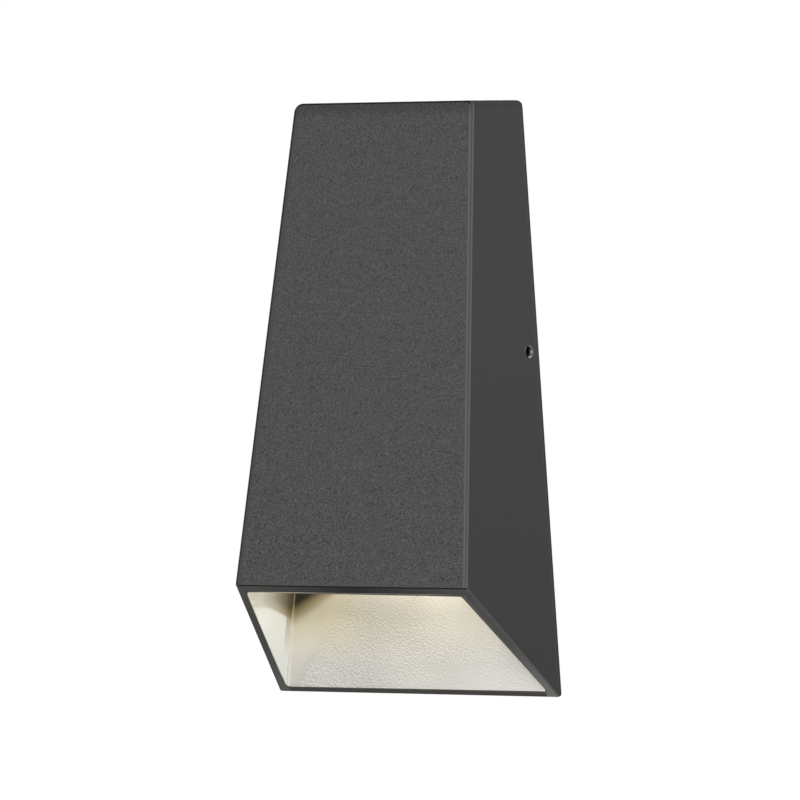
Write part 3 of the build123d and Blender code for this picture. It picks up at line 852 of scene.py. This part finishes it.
finishes = {
    "dark_coat": charcoal_coat(),
    "white_coat": white_coat(),
    "lens_glass": frosted_glass(),
    "grey_silicone": soft_finish("grey_silicone", (0.33, 0.33, 0.34), 2400.0, 0.12, 0.6),
    "black_rubber": soft_finish("black_rubber", (0.018, 0.018, 0.019), 1700.0, 0.2, 0.62),
    "foam": soft_finish("cell_foam", (0.022, 0.022, 0.023), 1300.0, 0.8, 0.85),
    "steel": metal_finish(
        "zinc_plate", (0.5, 0.51, 0.53), (0.7, 0.7, 0.69), 0.3, 1800.0, (1, 1, 0.4), bump=0.08, spread=120.0
    ),
    "black_steel": metal_finish(
        "black_oxide", (0.018, 0.018, 0.02), (0.05, 0.05, 0.054), 0.42, 2200.0, (0.5, 1, 1)
    ),
    "zinc_steel": galvanised_sheet(),
    "raw_aluminium": metal_finish(
        "mill_aluminium", (0.56, 0.56, 0.57), (0.7, 0.7, 0.71), 0.36, 1300.0, (1, 1, 0.035), spread=30.0
    ),
    "board_white": board_mask(),
    "phosphor": lit_phosphor(),
    "driver_plastic": soft_finish("driver_case", (0.055, 0.055, 0.06), 1500.0, 0.35, 0.5),
    "lead_plastic": lead_insulation(),
    "ground_green": metal_finish(
        "green_dye", (0.012, 0.12, 0.035), (0.03, 0.24, 0.07), 0.34, 1700.0, (1, 1, 0.5)
    ),
}
dam_silicone = soft_finish("dam_silicone", (0.72, 0.72, 0.7), 2600.0, 0.05, 0.45)


def dress(piece, slot, finish=None):
    """Gives a piece the finish of one of the record's slots."""
    piece.data.materials.clear()
    piece.data.materials.append(finish or finishes[slot])


def fit(piece, body, slot, *replaced, finish=None):
    """Finishes a new piece by one of the slots, hangs it on its body, and hides the CAD nodes that it
    stands for.
    """
    dress(piece, slot, finish)
    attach(piece, body)
    if replaced:
        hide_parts(*replaced)


for subpart in frame["record"]["subparts"]:
    dress(nodes[subpart["node"]], subpart["material_slot"])


# Screws

def threaded_rod(name, radius, length, end_bevel, head_bevel=0.0):
    """Threaded rod from z = 0 down, with bevelled ends."""
    pitch = coarse_pitch[round(radius / MM, 2)] * MM
    root = radius - thread_share * pitch
    turns = int(length / pitch) + 4
    below = -length - 1.5 * pitch
    # One turn of the thread in section: radius, and height as a share of the pitch
    flank = [(root, 0.0), (root, 0.12), (radius, 0.44), (radius, 0.56), (root, 0.88), (root, 1.0)]
    rod = drawn(name, [(r, below + share * pitch) for r, share in flank])
    close_edit()
    shape(
        rod, "SCREW", angle=2 * pi, screw_offset=pitch, iterations=turns, steps=thread_steps,
        render_steps=thread_steps, use_merge_vertices=False, use_smooth_shade=False,
    )
    edit(rod)
    bpy.ops.mesh.remove_doubles(threshold=touching)
    for level, up in ((0.0, 1), (-length, -1)):
        bpy.ops.mesh.select_all(action="SELECT")
        bpy.ops.mesh.bisect(plane_co=(0, 0, level), plane_no=(0, 0, up), use_fill=True, clear_outer=True)
    sealed()
    over = 0.02 * MM
    wide = radius + over
    outline = [(0, over), (wide - head_bevel, over), (wide, -head_bevel)]
    outline += [(wide, end_bevel - length), (wide - end_bevel, -length), (0, -length - over)]
    return carve(rod, turned(name + "_blank", outline), "INTERSECT")


def cross_bar(length, width, depth, top):
    """Tapered bar that cuts one arm of a cross recess into a head."""
    taper = (0.5, 0.75, 1)
    bar = start("cross_bar", bpy.ops.mesh.primitive_cube_add, size=1.0)
    edit(bar)
    bpy.ops.transform.resize(value=(length, width, 2 * depth))
    bpy.ops.transform.translate(value=(0, 0, top))
    close_edit()
    pick_lower_faces(bar)
    bpy.ops.transform.resize(value=taper)
    close_edit()
    return bar


def pan_screw(name, thread_r, length, head_r, head):
    """Pan-head screw with a cross recess and a rolled thread. The head stands on z = 0."""
    crown = [
        (head_r * (0.42 + 0.58 * cos(angle)), head * (0.34 + 0.66 * sin(angle)))
        for angle in [radians(90 - 15 * step) for step in range(7)]
    ]
    under = [(head_r, 0.08 * head), (0.97 * head_r, 0), (0, 0)]
    screw = turned(name, [(0, head)] + crown + under)
    rod = threaded_rod(name + "_rod", thread_r, length, 0.25 * thread_r)
    place(rod, Vector((0, 0, 0.1 * head)))
    carve(screw, rod, "UNION")
    for turn in (0, pi / 2):
        bar = cross_bar(head_r, 0.26 * head_r, 0.55 * head, head)
        place(bar, Vector(), Matrix.Rotation(turn, 4, "Z"))
        carve(screw, bar)
    return smooth(screw, 28)


def fit_pan_screws(node, body, slot, turn, thread_r, head_r, head):
    """Replaces a node's screws by modelled ones, on the same places."""
    name = node + "_pan"
    corners = solids(node)
    facing = turn @ Vector((0, 0, 1))
    low, high = corners[0]
    reach = abs((high - low).dot(facing))
    pattern = pan_screw(name + "_pattern", thread_r, reach - head, head_r, head)
    screws = [copy_of(pattern, f"{name}_{index}") for index in range(len(corners))]
    for screw, (low, high) in zip(screws, corners):
        place(screw, (low + high) / 2 + facing * (reach / 2 - head), turn)
    bpy.data.objects.remove(pattern)
    fit(joined(screws, name), body, slot, node)


# Pan-head screws, with their thread's radius, their head's radius and its height in millimetres
for node, body, slot, turn, size in (
    ("lens_frame_screws", "light", "steel", face_down, (1.5, 2.8, 1.9)),
    ("led_board_screws", "light", "steel", face_down, (1.0, 1.9, 1.3)),
    ("reflector_screws", "light", "white_coat", face_down, (1.5, 2.8, 1.9)),
    ("rear_cover_screws", "light", "steel", face_wall, (1.5, 2.8, 1.9)),
    ("driver_screws", "light", "steel", face_front, (1.5, 2.8, 1.9)),
    ("ground_screw", "bracket", "ground_green", face_front, (2.0, 3.6, 2.4)),
):
    fit_pan_screws(node, body, slot, turn, *[value * MM for value in size])


def set_screw(node, body, turn):
    """Socket set screw: a threaded rod with a bevelled point and a six-sided socket."""
    low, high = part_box(node)
    length = high.x - low.x
    radius = (high.z - low.z) / 2
    screw = threaded_rod(node + "_threaded", radius, length, end_bevel=0.7 * MM, head_bevel=0.3 * MM)
    across_flats = 2.5 * MM
    socket_r = across_flats / sqrt(3)
    socket_depth = 2.4 * MM
    socket = start(
        node + "_socket", bpy.ops.mesh.primitive_cylinder_add, vertices=6, radius=socket_r,
        depth=2 * socket_depth, end_fill_type="NGON",
    )
    # Drill point at the socket's end
    pick_lower_faces(socket)
    bpy.ops.mesh.extrude_region_move(TRANSFORM_OT_translate={"value": (0, 0, -0.4 * socket_r)})
    bpy.ops.transform.resize(value=(0.1, 0.1, 1))
    close_edit()
    carve(screw, socket)
    outer_end = high.x if body == "right_screw" else low.x
    place(screw, Vector((outer_end, (low.y + high.y) / 2, (low.z + high.z) / 2)), turn)
    fit(smooth(screw, 28), body, "black_steel", node)


set_screw("set_screw_left", "left_screw", face_left)
set_screw("set_screw_right", "right_screw", face_right)


# Light module

# What the liner's inner edge does at the mouth, by whether a place is on the left and whether at the wall:
# how much the liner thins there, and how far its edge shifts to the right
lip_moves = {
    (True, False): (0.8 * MM, 0.0),
    (True, True): (0.5 * MM, 0.0),
    (False, False): (0.0, -1.3 * MM),
    (False, True): (0.1 * MM, 0.7 * MM),
}


def led_chip():
    """White silicone dam round a domed pool of phosphor, under the board."""
    low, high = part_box("led_emitter")
    middle = Vector(((low.x + high.x) / 2, (low.y + high.y) / 2, high.z))
    outer = (high.x - low.x) / 2
    deep = high.z - low.z
    wide = 0.8 * MM
    inner = outer - wide
    round_r = wide / 2
    section = [(outer, 0)] + arc(outer - round_r, round_r - deep, round_r, 0, -180, 10)
    section += [(inner, 0), (outer, 0)]
    dam = place(turned("led_dam", section, 64), middle)
    fit(smooth(dam), "light", "phosphor", "led_emitter", finish=dam_silicone)
    edge = 0.45 * deep
    crown = 0.68 * deep
    pool = [(0, 0), (inner, 0), (inner, -edge)]
    for step in range(1, 7):
        share = 1 - step / 6
        pool.append((inner * share, -edge - (crown - edge) * (1 - share * share)))
    phosphor = place(turned("led_phosphor", pool, 64), middle)
    fit(smooth(phosphor), "light", "phosphor", "led_emitter")


def leads():
    """Two insulated leads with tinned ends, from the board up to the driver."""
    made = []
    for low, high in solids("led_leads"):
        radius = (high.x - low.x) / 2
        length = high.z - low.z
        core = 0.5 * radius
        soft = 0.25 * radius
        section = [(0, 0), (core, 0), (core, stripped_end)]
        section += arc(radius - soft, stripped_end + soft, soft, -90, 0, 4)
        section += arc(radius - soft, length - soft, soft, 0, 90, 4) + [(0, length)]
        lead = turned(f"lead_{len(made)}", section, 20)
        made.append(place(lead, underside(low, high)))
    fit(smooth(joined(made, "led_leads_sleeved")), "light", "lead_plastic", "led_leads")


def lens_seal():
    """Silicone ring between the lens and its seat, with rounded edges."""
    low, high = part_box("lens_gasket")
    outer = (high.x - low.x) / 2
    wide = 3.5 * MM
    inner = outer - wide
    tall = high.z - low.z
    soft = 0.3 * MM
    section = arc(outer - soft, soft, soft, -90, 0, 3)
    section += arc(outer - soft, tall - soft, soft, 0, 90, 3)
    section += arc(inner + soft, tall - soft, soft, 90, 180, 3)
    section += arc(inner + soft, soft, soft, 180, 270, 3)
    ring = turned("lens_seal", section + section[:1], 72)
    place(ring, underside(low, high))
    fit(smooth(ring), "light", "grey_silicone", "lens_gasket")


def liner():
    """White liner whose inner edge is shifted at the mouth, so that its walls narrow or lean there."""
    piece = merged_copy("reflector", "reflector_coated")
    spots = piece.data.vertices
    faces = piece.data.polygons
    edge_faces = [face for face in faces if face.normal.z < -0.7 and face.normal.y < -0.5]
    mouth = edge_faces[0].normal.copy()
    lip = {index for face in edge_faces for index in face.vertices}
    middle = sum((spots[index].co for index in lip), Vector()) / len(lip)
    inward = {}
    for face in faces:
        if abs(face.normal.z) < 0.5 and face.normal.dot(middle - face.center) > 0:
            for index in lip.intersection(face.vertices):
                inward[index] = inward.get(index, Vector()) + face.normal
    for index, normal in inward.items():
        normal.normalize()
        along = normal - mouth * normal.dot(mouth)
        spot = spots[index].co
        thinning, sideways = lip_moves[spot.x < middle.x, spot.y > middle.y]
        thinned = spot - along * (thinning / along.length_squared)
        spots[index].co = thinned + Vector((sideways, 0, 0))
    fit(even(piece), "light", "white_coat", "reflector")


led_chip()
leads()
lens_seal()
fit(softened("thermal_pad", "thermal_pad_soft", 0.12 * MM), "light", "grey_silicone", "thermal_pad")
fit(softened("lens_frame", "lens_frame_cast", 0.25 * MM, 3), "light", "white_coat", "lens_frame")
liner()


# Rubber, foam and sheet

def lead_bush():
    """Rubber grommet in the shelf, with a rounded lip."""
    low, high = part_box("lead_grommet")
    lip_r = (high.x - low.x) / 2
    neck_r = 3.4 * MM
    bore_r = 2.0 * MM
    neck = 3.6 * MM
    tall = high.z - low.z
    lip = tall - neck
    soft = 0.35 * MM
    section = arc(neck_r - soft, soft, soft, -90, 0, 3) + [(neck_r, neck)]
    section += arc(lip_r - soft, neck + soft, soft, -90, 0, 3)
    section += arc(lip_r - lip + soft, tall - lip + soft, lip - soft, 0, 90, 5)
    section += arc(bore_r + soft, tall - soft, soft, 90, 180, 3)
    section += arc(bore_r + soft, soft, soft, 180, 270, 3)
    bush = turned("lead_bush", section + section[:1], 40)
    place(bush, underside(low, high))
    fit(smooth(bush), "light", "black_rubber", "lead_grommet")


def cable_bush():
    """Rubber grommet for the supply cable, in the rear cover: two lips and a neck."""
    low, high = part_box("cable_grommet")
    lip_r = (high.x - low.x) / 2
    neck_r = 5.9 * MM
    bore_r = 3.5 * MM
    lip = 1.6 * MM
    tall = high.y - low.y
    soft = 0.5 * MM
    section = arc(bore_r + soft, soft, soft, 180, 270, 4)
    section += [(neck_r + 1.1 * MM, 0), (lip_r, lip - 0.15 * MM), (lip_r - 0.1 * MM, lip)]
    section += [(neck_r, lip), (neck_r, tall - lip), (lip_r - 0.1 * MM, tall - lip)]
    section += arc(lip_r - soft, tall - lip + soft, soft, -20, 0, 1)
    section += arc(lip_r - soft, tall - soft, soft, 0, 90, 4)
    section += arc(bore_r + soft, tall - soft, soft, 90, 180, 4)
    bush = turned("cable_bush", section + section[:1], 56)
    place(bush, Vector(((low.x + high.x) / 2, low.y, (low.z + high.z) / 2)), face_wall)
    fit(smooth(bush), "light", "black_rubber", "cable_grommet")


def foam_seal():
    """Closed-cell foam strip in its groove, crowned towards the wall."""
    strip = softened("wall_gasket", "foam_seal", 0.45 * MM, 4)
    fit(strip, "light", "foam", "wall_gasket")


lead_bush()
cable_bush()
foam_seal()
fit(softened("rear_cover_gasket", "cover_seal", 0.3 * MM, 3), "light", "black_rubber", "rear_cover_gasket")
fit(softened("wall_bracket", "wall_bracket_sheet", 0.25 * MM), "bracket", "zinc_steel", "wall_bracket")


# Studio

# Point that the studio lamps look at, and how far from it they stand
studio_middle = Vector((0, -30 * MM, -20 * MM))
lamp_distance = 2.2


def softbox(name, azimuth, elevation, width, height, power):
    """Area lamp that looks at the object's middle, by its azimuth and elevation seen from there."""
    lamp = bpy.data.lights.new(name, "AREA")
    lamp.shape = "RECTANGLE"
    lamp.size = width
    lamp.size_y = height
    lamp.energy = power
    stand = linked(name, lamp)
    turn, lift = radians(azimuth), radians(elevation)
    away = Vector((sin(turn) * cos(lift), -cos(turn) * cos(lift), sin(lift)))
    stand.location = studio_middle + away * lamp_distance
    stand.rotation_euler = away.to_track_quat("Z", "Y").to_euler()
    stand.visible_camera = False


softbox("key", 14, 19, 1.0, 1.0, 40.0)
softbox("back_left", 215, 8, 1.0, 1.2, 26.0)
softbox("back_right", 150, 6, 0.8, 1.2, 12.0)


def led_lamp(name, power, colour, half_angle, blur, evened=False):
    """One of the light's own cones, from the lens downwards. An evened one falls off less with distance."""
    lamp = bpy.data.lights.new(name, "SPOT")
    lamp.energy = power
    lamp.color = colour
    lamp.spot_size = radians(2 * half_angle)
    lamp.spot_blend = blur
    lamp.shadow_soft_size = 0.5 * MM
    if evened:
        tree = bare_tree(lamp)
        level = put(tree, "LightFalloff", {"Strength": 1 / led_reach}).outputs["Linear"]
        glow = put(tree, "Emission", {"Strength": level})
        put(tree, "OutputLight", {"Surface": glow.outputs[0]})
    cone = linked(name, lamp)
    cone.location = led_spot
    cone.visible_camera = False
    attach(cone, "light")


def seen_directly(tree):
    """1 for what the camera sees, also through glass and in metal, and 0 for what only gives light."""
    path = put(tree, "LightPath").outputs
    seen = calc("ADD", path["Is Camera Ray"], path["Is Transmission Ray"])
    return calc("ADD", seen, path["Is Glossy Ray"], clamp=True)


def studio_world():
    """White for the camera and in reflections, and a little even light for the rest."""
    world = bpy.data.worlds.new("studio")
    bpy.context.scene.world = world
    tree = bare_tree(world)
    level = by_mask(seen_directly(tree), 0.06, 1.0)
    light = put(tree, "Background", {"Color": grey(1.0), "Strength": level})
    put(tree, "OutputWorld", {"Surface": light.outputs[0]})


def studio_floor():
    """Pale floor below the light, fading to white at its edge. It keeps the light's shadow."""
    radius = 2.0
    drop = 0.3
    floor = start(
        "studio_floor", bpy.ops.mesh.primitive_circle_add, vertices=96, radius=radius, fill_type="NGON"
    )
    place(floor, Vector((0, 0, lowest - drop)))
    finish = bpy.data.materials.new("pale_floor")
    tree = bare_tree(finish)
    spot = put(tree, "SeparateXYZ", {0: put(tree, "TexCoord").outputs["Object"]}).outputs
    fade = between(hypotenuse(spot[0], spot[1]), 0.25 * radius, 0.9 * radius)
    plain = put(tree, "BsdfDiffuse", {"Color": grey(0.82)})
    white = put(tree, "Emission", {"Color": grey(1.0), "Strength": 1.0})
    share = both(fade, seen_directly(tree))
    mixed = put(tree, "MixShader", {0: share, 1: plain.outputs[0], 2: white.outputs[0]})
    put(tree, "OutputMaterial", {"Surface": mixed.outputs[0]})
    floor.data.materials.append(finish)


def photo_camera():
    """Camera at the photograph's angle and distance."""
    lens = bpy.data.cameras.new("photo_camera")
    lens.lens = camera_lens
    lens.sensor_width = 36.0
    lens.clip_end = 50.0
    camera = linked("photo_camera", lens)
    tip = Matrix.Rotation(camera_lean, 4, "X")
    turn = Matrix.Rotation(camera_azimuth, 4, "Z") @ Matrix.Rotation(pi / 2, 4, "X")
    axes = tip @ turn @ Matrix.Rotation(camera_roll, 4, "Z")
    camera.location = camera_aim + axes @ Vector((camera_right, camera_up, camera_distance))
    camera.rotation_euler = axes.to_euler()
    bpy.context.scene.camera = camera


led_lamp("led_cone", 0.092, (1.0, 1.0, 0.97), cone_half, 0.015)
led_lamp("led_spill", 0.095, (1.0, 0.87, 0.55), 78.0, 0.3, evened=True)
studio_world()
studio_floor()
photo_camera()
bpy.context.scene.view_settings.view_transform = "Standard"
